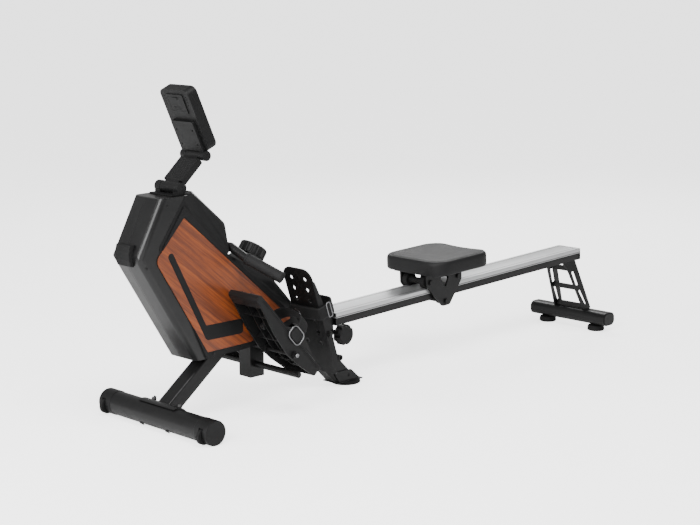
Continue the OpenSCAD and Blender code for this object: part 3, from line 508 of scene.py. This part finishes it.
def tube(name, path, radius, closed=False, sides=12):
    """A round wire along path."""
    count = len(path)
    points = []
    side = None
    for i, here in enumerate(path):
        after = path[(i + 1) % count] if closed else path[min(i + 1, count - 1)]
        before = path[i - 1] if closed else path[max(i - 1, 0)]
        ahead = (after - before).normalized()
        if side is None:
            side = ahead.orthogonal()
        side = (side - ahead * side.dot(ahead)).normalized()
        up = ahead.cross(side)
        for k in range(sides):
            turn = math.tau * k / sides
            points.append(here + (side * math.cos(turn) + up * math.sin(turn)) * radius)
    return mesh_of(name, points, skin(count, sides, closed) + ([] if closed else end_faces(count, sides)))


def rounded_outline(corners, radii, steps=8):
    """A closed outline of 2-D points with each corner rounded."""
    outline = []
    for i, (corner, radius) in enumerate(zip(corners, radii)):
        here = Vector(corner)
        back = (Vector(corners[i - 1]) - here).normalized()
        ahead = (Vector(corners[(i + 1) % len(corners)]) - here).normalized()
        half = back.angle(ahead) / 2
        centre = here + (back + ahead).normalized() * radius / math.sin(half)
        start = here + back * radius / math.tan(half) - centre
        end = here + ahead * radius / math.tan(half) - centre
        for k in range(steps + 1):
            outline.append(centre + start.slerp(end, k / steps) * radius)
    return outline


def slab(name, points):
    """A flat plate from the points of its outer face and then those of its inner face."""
    count = len(points) // 2
    faces = [tuple(range(count)), tuple(range(2 * count - 1, count - 1, -1))]
    faces += [(k, k + count, (k + 1) % count + count, (k + 1) % count) for k in range(count)]
    return mesh_of(name, points, faces)


# ------------------------------------------------------------------ stripe on the wood panels

STRIPE_TOP = Vector((-3, 493))
STRIPE_ELBOW = Vector((125, 240))
STRIPE_HALF = 9.5
FOOT_TOP = 280
FOOT_LOW = 238
FOOT_END = 246


def stripe_outline():
    """The leaning bar with its foot, which bends to the rear."""
    run = (STRIPE_ELBOW - STRIPE_TOP).normalized()
    side = Vector((-run.y, run.x)) * STRIPE_HALF

    def at_height(start, z):
        return start + run * ((z - start.y) / run.y)

    near_top, far_top = STRIPE_TOP - side, STRIPE_TOP + side
    corners = [near_top, at_height(near_top, FOOT_LOW), (FOOT_END, FOOT_LOW), (FOOT_END, FOOT_TOP),
               at_height(far_top, FOOT_TOP), far_top]
    return rounded_outline(corners, [STRIPE_HALF - 0.1, 14, 10, 10, 6, STRIPE_HALF - 0.1])


STRIPE_PROUD = 0.5   # how far the stripe stands out from the panel, and is sunk into it
STRIPE_SUNK = 0.3


def panel_stripe(side_name, sign):
    face = abs(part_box("side_panels")[0].y) / MM
    depths = sign * (face + STRIPE_PROUD), sign * (face - STRIPE_SUNK)
    points = [spot(p[0], y, p[1]) for y in depths for p in stripe_outline()]
    mesh = look_outwards(slab("panel_stripe", points))
    stripe = add_piece("panel_stripe_" + side_name, mesh, "black_plastic", "frame")
    rounded_edges(stripe, 0.0002, 1, 40)


for side_name, sign in SIDES:
    panel_stripe(side_name, sign)


# ------------------------------------------------------------------ seat pad

PAD_SIDE = 257
PAD_CORNER = 45
# The pad's cover from the underside to the middle of its top: distance in from the edge, and height
PAD_PROFILE = [
    (40, 1.0), (6, 0.2), (1.6, 1.2), (0.2, 4.5), (0.0, 14), (0.0, 30), (0.5, 36.5), (2.2, 41), (5.0, 43.8),
    (8.0, 44.6), (9.6, 44.0), (10.4, 43.6), (11.4, 44.2), (14, 45.2), (22, 46.4), (36, 46.6), (56, 45.6),
    (80, 44.6), (104, 44.0)]
PAD_REAR_DIP = 4.0      # depth of the hollow in the rear edge
PAD_DIP_HALF = 88       # half its width
PAD_DIP_START = 0.45    # where it starts, as a share of the half length


def pad_ring(inset, steps=10):
    """One rounded square round the pad, drawn that far in from its edge."""
    half = PAD_SIDE / 2 - inset
    radius = min(max(PAD_CORNER - 0.75 * inset, 0.45 * half), half)
    ring = []
    for quarter, (sx, sy) in enumerate(((1, 1), (-1, 1), (-1, -1), (1, -1))):
        centre = (sx * (half - radius), sy * (half - radius))
        ring += arc(centre, radius, quarter * 90, quarter * 90 + 90, steps)
        x, y = ring[-1]
        nx, ny = ((-1, 0), (0, -1), (1, 0), (0, 1))[quarter]
        run = 2 * (half - radius)
        ring += [(x + nx * run * k / steps, y + ny * run * k / steps) for k in range(1, steps)]
    return ring


def pad_height():
    """Thickness of the pad in millimetres, from its box, which leans with the rail."""
    low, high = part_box("seat_pad")
    return ((high - low).z / MM - PAD_SIDE * math.sin(RAIL_SLOPE)) / math.cos(RAIL_SLOPE)


def seat_pad():
    base = -pad_height() / 2
    rings = [pad_ring(inset) for inset, _ in PAD_PROFILE]
    count = len(rings[0])
    points = []
    for ring, (_, height) in zip(rings, PAD_PROFILE):
        for x, y in ring:
            rear = max(0.0, (x / (PAD_SIDE / 2) - PAD_DIP_START) / (1 - PAD_DIP_START))
            dip = PAD_REAR_DIP * rear * max(0.0, 1 - (y / PAD_DIP_HALF) ** 2) if height > 30 else 0.0
            points.append((x, y, base + height - dip))
    faces = skin(len(rings), count)
    last = (len(rings) - 1) * count
    points += [(0, 0, base + PAD_PROFILE[0][1]), (0, 0, base + PAD_PROFILE[-1][1] - 0.3)]
    faces += [(len(points) - 2, (k + 1) % count, k) for k in range(count)]
    faces += [(len(points) - 1, last + k, last + (k + 1) % count) for k in range(count)]
    mesh = mesh_of("seat_pad_cover", points, faces)
    mesh.transform(leaning(middle("seat_pad"), -RAIL_SLOPE))
    pad = add_piece("seat_pad_cover", mesh, "seat_vinyl", "seat")
    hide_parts("seat_pad")


seat_pad()


# ------------------------------------------------------------------ straps with their rings


def placed(frame_matrix, points):
    return [frame_matrix @ Vector(p) for p in points]


def oval_ring(centre, half_x, half_z, radius, steps=10):
    """Rounded rectangle in the X-Z plane of a tilted frame."""
    cx, cy, cz = centre
    outline = rounded_outline([(-half_x, -half_z), (half_x, -half_z), (half_x, half_z), (-half_x, half_z)],
                              [radius] * 4, steps)
    return [(cx + p[0], cy, cz + p[1]) for p in outline]


STRAP_WIDTH = 40
STRAP_THICK = 2.4
PEDAL_PIVOT = (-105, -36)    # the axle in the pedal's own X and Z
ARCH_X = -143                # middle of the strap along the pedal
ARCH_TOP = 71.4
ARCH_BEND = 46
ARCH_SIDES = (78.8, 201.4)   # the strap's inner and outer legs
ARCH_LEG = (-14, 0, 12)      # heights along a leg, below the bend
TAB_Y = 203.6
TAB_HALF = 1.1               # half the tab's thickness
RING_Y = 205.2


def pedal_strap(side_name, sign):
    """The arched strap over a pedal, its tab through a D-ring, and the buckle on its crown."""
    body = side_name + "_pedal"
    axle = Vector(JOINT[f"pedal_{side_name}_pivot"]["pos_m"])
    tilt = Matrix.Rotation(PEDAL_TILT, 4, "Y") @ Matrix.Scale(MM, 4)
    origin = axle - tilt.to_3x3() @ Vector((PEDAL_PIVOT[0], 0, PEDAL_PIVOT[1]))
    local = Matrix.Translation((origin.x, 0, origin.z)) @ tilt
    across = (local.to_3x3() @ Vector((1, 0, 0))).normalized()
    inner, outer = ARCH_SIDES
    bend_z = ARCH_TOP - ARCH_BEND
    arch = [(outer, z) for z in ARCH_LEG]
    arch += arc((outer - ARCH_BEND, bend_z), ARCH_BEND, 0, 90, 14)
    arch += arc((inner + ARCH_BEND, bend_z), ARCH_BEND, 90, 180, 14)
    arch += [(inner, z) for z in reversed(ARCH_LEG)]
    path = placed(local, [(ARCH_X + 0.06 * (y - 140), sign * y, z) for y, z in arch])
    woven = band("pedal_strap", path, across, STRAP_WIDTH * MM, STRAP_THICK * MM)
    strap = add_piece(f"pedal_strap_{side_name}_woven", woven, "webbing", body)
    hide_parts("pedal_strap_" + side_name)
    # Round-ended tab that lies outside the pedal, with its ring
    tab = [(-30, 20), (-30, -18), (6, -18), (6, 20)]
    tab_outline = rounded_outline([(ARCH_X + 12 + x, 8 + z) for x, z in tab], [17, 6, 6, 17])
    depths = sign * (TAB_Y + TAB_HALF), sign * (TAB_Y - TAB_HALF)
    points = placed(local, [(x, y, z) for y in depths for x, z in tab_outline])
    tab_piece = add_piece(f"pedal_strap_{side_name}_tab", slab("tab", points), "black_plastic", body)
    rounded_edges(tab_piece, 0.0006, 2, 40)
    ring = placed(local, oval_ring((ARCH_X, sign * RING_Y, 4), 27, 20, 15))
    add_piece(f"pedal_strap_{side_name}_ring", tube("ring", ring, 0.0016, closed=True), "bare_metal", body)
    buckle = [(ARCH_X - 19, sign * (outer - ARCH_BEND + y), bend_z + z)
              for y, z in arc((0, 0), ARCH_BEND + 2.6, 50, 88, 12)]
    clip = band("buckle", placed(local, buckle), across, 0.007, 0.0016)
    add_piece(f"pedal_strap_{side_name}_buckle", clip, "bare_metal", body)


PLATE_HEEL = (484, 100)      # X and Z of the plate's own origin
LOOP_X = -196                # middle of the loop along the plate
LOOP_TOP = 60.7
LOOP_FRONT = -9.8
LOOP_SIDES = (76.8, 200.2)
LOOP_BEND = 34
LOOP_FOLD = 9                # radius of the two folds in front of the plate
LOOP_BOW = 2.4


def plate_strap(side_name, sign):
    """The loop round an upright foot plate: flat and slightly bowed in front, arched behind."""
    local = leaning(spot(PLATE_HEEL[0], 0, PLATE_HEEL[1]), PLATE_TILT)
    across = (local.to_3x3() @ Vector((1, 0, 0))).normalized()
    body = side_name + "_plate"
    inner, outer = LOOP_SIDES
    loop = arc((outer - LOOP_BEND, LOOP_TOP - LOOP_BEND), LOOP_BEND, 0, 90, 12)
    loop += arc((inner + LOOP_BEND, LOOP_TOP - LOOP_BEND), LOOP_BEND, 90, 180, 12)
    loop += arc((inner + LOOP_FOLD, LOOP_FRONT + LOOP_FOLD), LOOP_FOLD, 180, 262, 6)
    width = outer - inner - 2 * LOOP_FOLD
    for k in range(1, 12):
        share = k / 12
        loop.append((inner + LOOP_FOLD + width * share, LOOP_FRONT - LOOP_BOW * math.sin(math.pi * share)))
    loop += arc((outer - LOOP_FOLD, LOOP_FRONT + LOOP_FOLD), LOOP_FOLD, 278, 360, 6)
    path = placed(local, [(LOOP_X, sign * y, z) for y, z in loop])
    woven = band("plate_strap", path, across, STRAP_WIDTH * MM, STRAP_THICK * MM, closed=True)
    strap = add_piece(f"plate_strap_{side_name}_woven", woven, "webbing", body)
    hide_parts("plate_strap_" + side_name)
    ring = placed(local, oval_ring((LOOP_X, sign * (outer + 2.6), 26), 22, 7, 5))
    add_piece(f"plate_strap_{side_name}_ring", tube("ring", ring, 0.0014, closed=True), "bare_metal", body)


for side_name, sign in SIDES:
    pedal_strap(side_name, sign)
    plate_strap(side_name, sign)


def pull_strap():
    """Flat strap from the mouth of the body to the handle."""
    low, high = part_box("pull_strap")
    start = Vector((low.x, 0, low.z + 0.001))
    end = Vector((high.x, 0, high.z - 0.001))
    path = [start.lerp(end, k / 40) for k in range(41)]
    width = high.y - low.y
    woven = band("pull_strap", path, Vector((0, 1, 0)), width, 0.0019)
    strap = add_piece("pull_strap_woven", woven, "webbing", None)
    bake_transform(strap)
    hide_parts("pull_strap")


pull_strap()


# ------------------------------------------------------------------ small hard pieces


GRIP_ROWS = 13
GRIP_COLUMNS = 9
GRIP_BASE = (2.6, 9.8)   # reach and height of a stud's foot, and of its top
GRIP_TOP = (1.0, 11.2)


def knurled_face():
    """Rows of small pyramids on the front of the console arm."""
    local = leaning(spot(55, 0, 661), -ARM_RISE)
    points, faces = [], []
    for row in range(GRIP_ROWS):
        for column in range(GRIP_COLUMNS):
            x, y = 24 + row * 5.8, -33 + column * 8.25
            first = len(points)
            for reach, height in (GRIP_BASE, GRIP_TOP):
                points += [(x + dx * reach, y + dy * reach, height)
                           for dx, dy in ((1, 0), (0, 1), (-1, 0), (0, -1))]
            faces += [tuple(first + corner for corner in face) for face in skin(2, 4)]
            faces.append(tuple(range(first + 4, first + 8)))
    mesh = mesh_of("arm_grip", placed(local, points), faces)
    mesh.shade_flat()
    add_piece("console_arm_grip", mesh, "black_plastic", "arm")


knurled_face()

BOLT_RADIUS = 5.8
BOLT_SIDES = 24
# From the rim of the head to its socket: reach as a share of the radius, and height
BOLT_PROFILE = [(1, 0.0), (1, 0.5), (0.86, 0.95), (0.55, 1.15), (0.45, 0.5)]
BOLT_RISE = 0.45 * BOLT_RADIUS


def pedal_bolt(side_name, sign):
    """A domed screw head that looks outwards, on the end of a pedal's axle."""
    axle = Vector(JOINT[f"pedal_{side_name}_pivot"]["pos_m"])
    place = Vector((axle.x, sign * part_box("foot_axles")[1].y, axle.z))
    points = []
    for share, out in BOLT_PROFILE:
        for k in range(BOLT_SIDES):
            turn = math.tau * k / BOLT_SIDES
            reach = share * BOLT_RADIUS
            step = Vector((reach * math.cos(turn), sign * out * BOLT_RISE, reach * math.sin(turn)))
            points.append(place + step * MM)
    faces = skin(len(BOLT_PROFILE), BOLT_SIDES) + end_faces(len(BOLT_PROFILE), BOLT_SIDES)[1:]
    mesh = look_outwards(mesh_of("pedal_bolt_" + side_name, points, faces))
    add_piece("pedal_bolt_" + side_name, mesh, "bare_metal", "frame")


for side_name, sign in SIDES:
    pedal_bolt(side_name, sign)


# ------------------------------------------------------------------ camera, floor, light


def camera():
    """The photograph's view, solved from its perspective."""
    cam = bpy.data.cameras.new("camera")
    cam.lens = 82.47
    cam.sensor_width = 36
    obj = bpy.data.objects.new("camera", cam)
    bpy.context.collection.objects.link(obj)
    yaw, pitch, roll = math.radians(44.0), math.radians(10.47), math.radians(-0.33)
    ahead = Vector((math.sin(yaw) * math.cos(pitch), math.cos(yaw) * math.cos(pitch), -math.sin(pitch)))
    right = Vector((math.cos(yaw), -math.sin(yaw), 0))
    up = right.cross(ahead)
    right_rolled = right * math.cos(roll) + up * math.sin(roll)
    up_rolled = up * math.cos(roll) - right * math.sin(roll)
    turn = Matrix((right_rolled, up_rolled, -ahead)).transposed()
    obj.matrix_world = Matrix.Translation((-2.569 + AXIS_X, -3.411, 1.242)) @ turn.to_4x4()
    cam.clip_end = 100
    bpy.context.scene.camera = obj
    return obj


def seen_directly(tree):
    """1 for what the camera sees, and 0 for the light that falls on the parts."""
    return tree.nodes.new("ShaderNodeLightPath").outputs["Is Camera Ray"]


def floor():
    mesh = bpy.data.meshes.new("floor")
    reach = 60
    corners = [(x * reach, y * reach, 0) for x, y in ((-1, -1), (1, -1), (1, 1), (-1, 1))]
    mesh.from_pydata(corners, [], [(0, 1, 2, 3)])
    obj = bpy.data.objects.new("floor", mesh)
    bpy.context.collection.objects.link(obj)
    s = Shader("pale_floor")
    s.set(Base_Color=s.ramp(s.noise(3, 2, 0.5), [(0.3, (0.94, 0.94, 0.94)), (0.7, (0.96, 0.96, 0.96))]),
          Roughness=0.9, Specular_IOR_Level=0.0, Emission_Color=(1, 1, 1, 1),
          Emission_Strength=s.span(seen_directly(s.tree), 0.0, 2.2))
    mesh.materials.append(s.material)


def softbox(name, place, target, size, power):
    """A rectangular lamp of a size in metres and a power in watts, aimed at target."""
    light = bpy.data.lights.new(name, "AREA")
    light.shape = "RECTANGLE"
    light.size, light.size_y = size
    light.energy = power
    obj = bpy.data.objects.new(name, light)
    bpy.context.collection.objects.link(obj)
    obj.location = place
    obj.rotation_euler = (Vector(target) - Vector(place)).to_track_quat("-Z", "Y").to_euler()


def studio():
    """A bright room, whose light on the parts is weaker than it looks behind them."""
    world = bpy.data.worlds.new("studio")
    world.use_nodes = True
    tree = world.node_tree
    level = tree.nodes.new("ShaderNodeMapRange")
    level.inputs["To Min"].default_value = 0.42
    level.inputs["To Max"].default_value = 4.2
    tree.links.new(seen_directly(tree), level.inputs["Value"])
    tree.links.new(level.outputs[0], tree.nodes["Background"].inputs["Strength"])
    tree.nodes["Background"].inputs["Color"].default_value = (1, 1, 1, 1)
    bpy.context.scene.world = world
    softbox("key", (-1.2, -2.2, 3.8), (0, 0, 0.3), (2.4, 1.6), 150)
    softbox("front_strip", (-3.8, 1.2, 1.5), (-0.8, 0, 0.5), (0.8, 1.8), 45)
    softbox("ridge_box", (-4.1, -1.6, 2.3), (-0.9, 0, 0.5), (2.4, 2.2), 190)
    softbox("rear_fill", (2.6, 2.2, 2.6), (0.3, 0, 0.3), (2.0, 1.2), 60)


camera()
floor()
studio()
